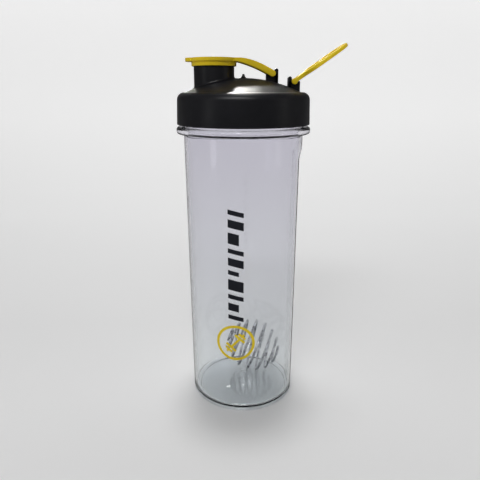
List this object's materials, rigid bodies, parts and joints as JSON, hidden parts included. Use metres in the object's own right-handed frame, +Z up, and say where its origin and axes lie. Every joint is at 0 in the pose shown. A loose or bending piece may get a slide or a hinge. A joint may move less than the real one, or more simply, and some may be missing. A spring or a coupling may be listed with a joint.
{
  "type": "protein shaker bottle",
  "caption": "Tall clear shaker bottle: screw lid with a round spout, hinged flip cap, folding carry loop, sealing ring and a loose wire whisk ball",
  "frame": {"origin": "middle of the bounding box at the level of the standing ring; the cup's own axis is at X = -11.2 mm, because the loop reaches out at +X", "axes": "+Z up along the cup, +X from the spout towards the carry loop, +Y across the hinges"},
  "size_m": [0.1154, 0.093, 0.2612],
  "materials": {
    "clear_plastic": "clear, faintly lavender grey, polished",
    "black_plastic": "satin moulded black",
    "seal_silicone": "matte translucent white",
    "yellow_plastic": "semi-gloss moulded yellow",
    "wire_steel": "bright drawn wire"
  },
  "bodies": {
    "cup": {"cup": "clear_plastic"},
    "lid_gasket": {"lid_gasket": "seal_silicone"},
    "lid": {"lid": "black_plastic"},
    "flip_cap": {"flip_cap": "yellow_plastic"},
    "carry_loop": {"carry_loop": "yellow_plastic"},
    "whisk_ball": {"whisk_ball": "wire_steel"}
  },
  "joints": [
    {"name": "lid_lift", "type": "slide", "parent": "cup", "child": "lid_gasket", "axis": [0, 0, 1], "range_m": [0, 0.0063]},
    {"name": "lid_turn", "type": "hinge", "parent": "lid_gasket", "child": "lid", "pos_m": [-0.01125, 0, 0.2], "axis": [0, 0, 1], "range_deg": [0, 450]},
    {"name": "cap_hinge", "type": "hinge", "parent": "lid", "child": "flip_cap", "pos_m": [0.00815, 0, 0.24175], "axis": [0, 1, 0], "range_deg": [0, 100]},
    {"name": "loop_hinge", "type": "hinge", "parent": "lid", "child": "carry_loop", "pos_m": [0.02305, 0, 0.23677], "axis": [0, -1, 0], "range_deg": [0, 45]},
    {"name": "whisk_slide", "type": "slide", "parent": "cup", "child": "whisk_ball", "axis": [0, 0, 1], "range_m": [0, 0.165]}
  ],
  "couplings": [
    {"joint": "lid_lift", "follows": "lid_turn", "m_per_rad": 0.00079577}
  ]
}
